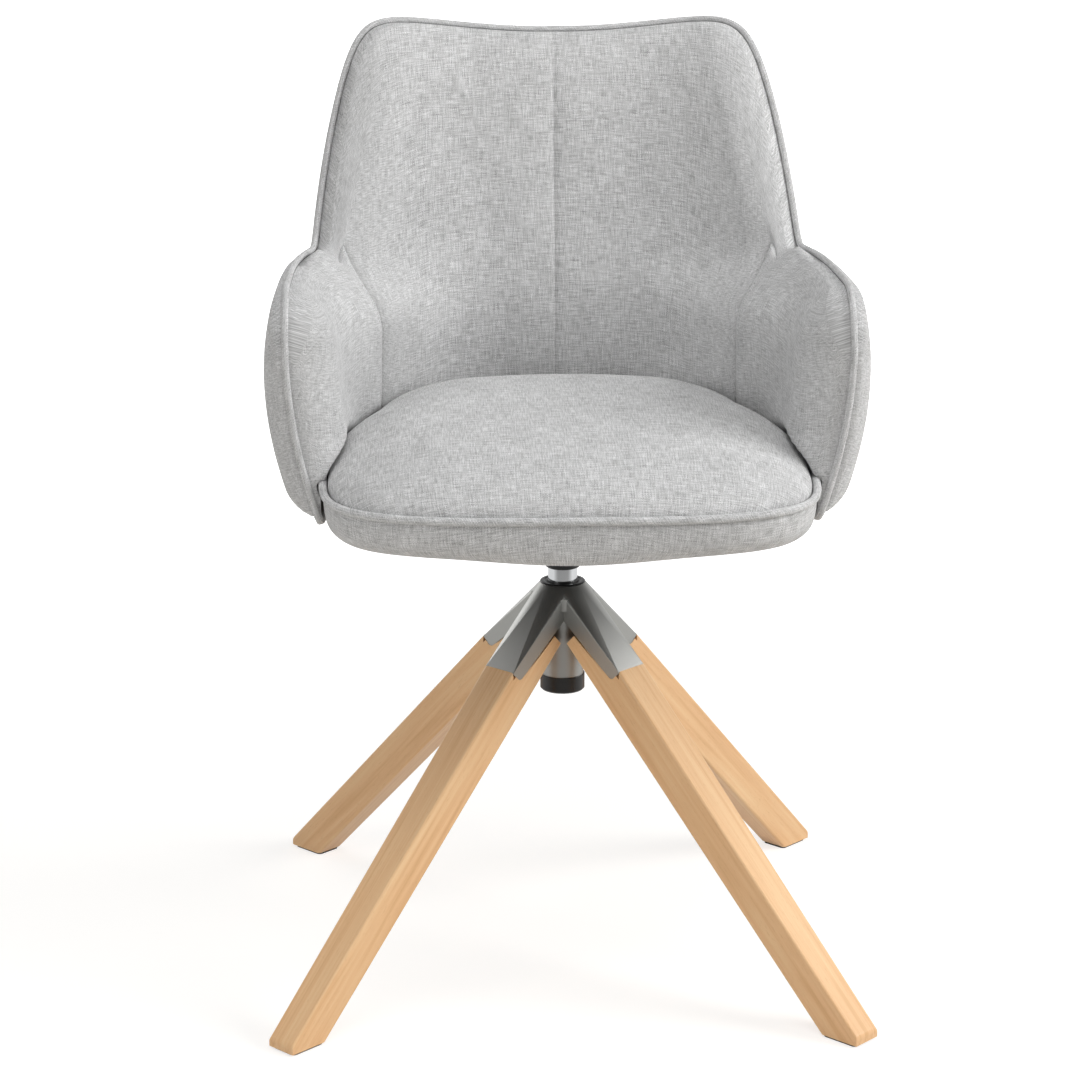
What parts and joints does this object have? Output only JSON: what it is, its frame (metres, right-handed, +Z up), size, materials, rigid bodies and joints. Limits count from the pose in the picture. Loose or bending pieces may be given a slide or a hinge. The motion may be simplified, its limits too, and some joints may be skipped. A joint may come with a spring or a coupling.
{
  "type": "swivel armchair",
  "caption": "Upholstered tub armchair on a turning steel column, with splayed beech legs bolted under a cast metal hub.",
  "frame": {"origin": "on the floor under the column, at the middle of the chair's footprint", "axes": "+Z up along the column, -Y the way the sitter faces, +X to the right in a view from the front"},
  "size_m": [0.5464, 0.5464, 0.8678],
  "materials": {
    "cast_aluminium": "satin polished casting",
    "beech": "clear satin lacquer on beech",
    "black_nylon": "moulded, satin",
    "white_acetal": "turned, smooth",
    "zinc_steel": "bright zinc plated",
    "chromed_tube": "polished chrome",
    "black_steel": "black powder coat",
    "birch_ply": "raw plywood",
    "dust_cloth": "black non-woven cloth",
    "moulded_shell": "moulded sheet",
    "grey_fabric": "light grey flecked weave over foam"
  },
  "bodies": {
    "base": {"hub_casting": "cast_aluminium", "leg_front_left": "beech", "leg_front_right": "beech", "leg_rear_left": "beech", "leg_rear_right": "beech", "foot_glides": "black_nylon", "leg_bolts": "zinc_steel", "leg_washers": "zinc_steel", "upper_bush": "black_nylon", "lower_bush": "black_nylon", "thrust_washer": "white_acetal", "end_cap": "black_nylon"},
    "seat": {"column_tube": "chromed_tube", "tube_plug": "zinc_steel", "keeper_bolt": "zinc_steel", "keeper_washer": "zinc_steel", "seat_plate": "black_steel", "plate_bolts": "zinc_steel", "plate_washers": "zinc_steel", "tee_nuts": "zinc_steel", "seat_board": "birch_ply", "tub_ring": "black_steel", "ring_screws": "zinc_steel", "dust_cover": "dust_cloth", "seat_border": "grey_fabric", "seat_cushion": "grey_fabric", "seat_piping": "grey_fabric", "tub_shell": "moulded_shell", "back_pad": "grey_fabric", "arm_pad_left": "grey_fabric", "arm_pad_right": "grey_fabric", "back_cover": "grey_fabric", "arm_cover_left": "grey_fabric", "arm_cover_right": "grey_fabric", "tub_piping": "grey_fabric"}
  },
  "joints": [
    {"name": "seat_swivel", "type": "hinge", "parent": "base", "child": "seat", "pos_m": [0, 0, 0.36], "axis": [0, 0, 1], "continuous": true}
  ]
}
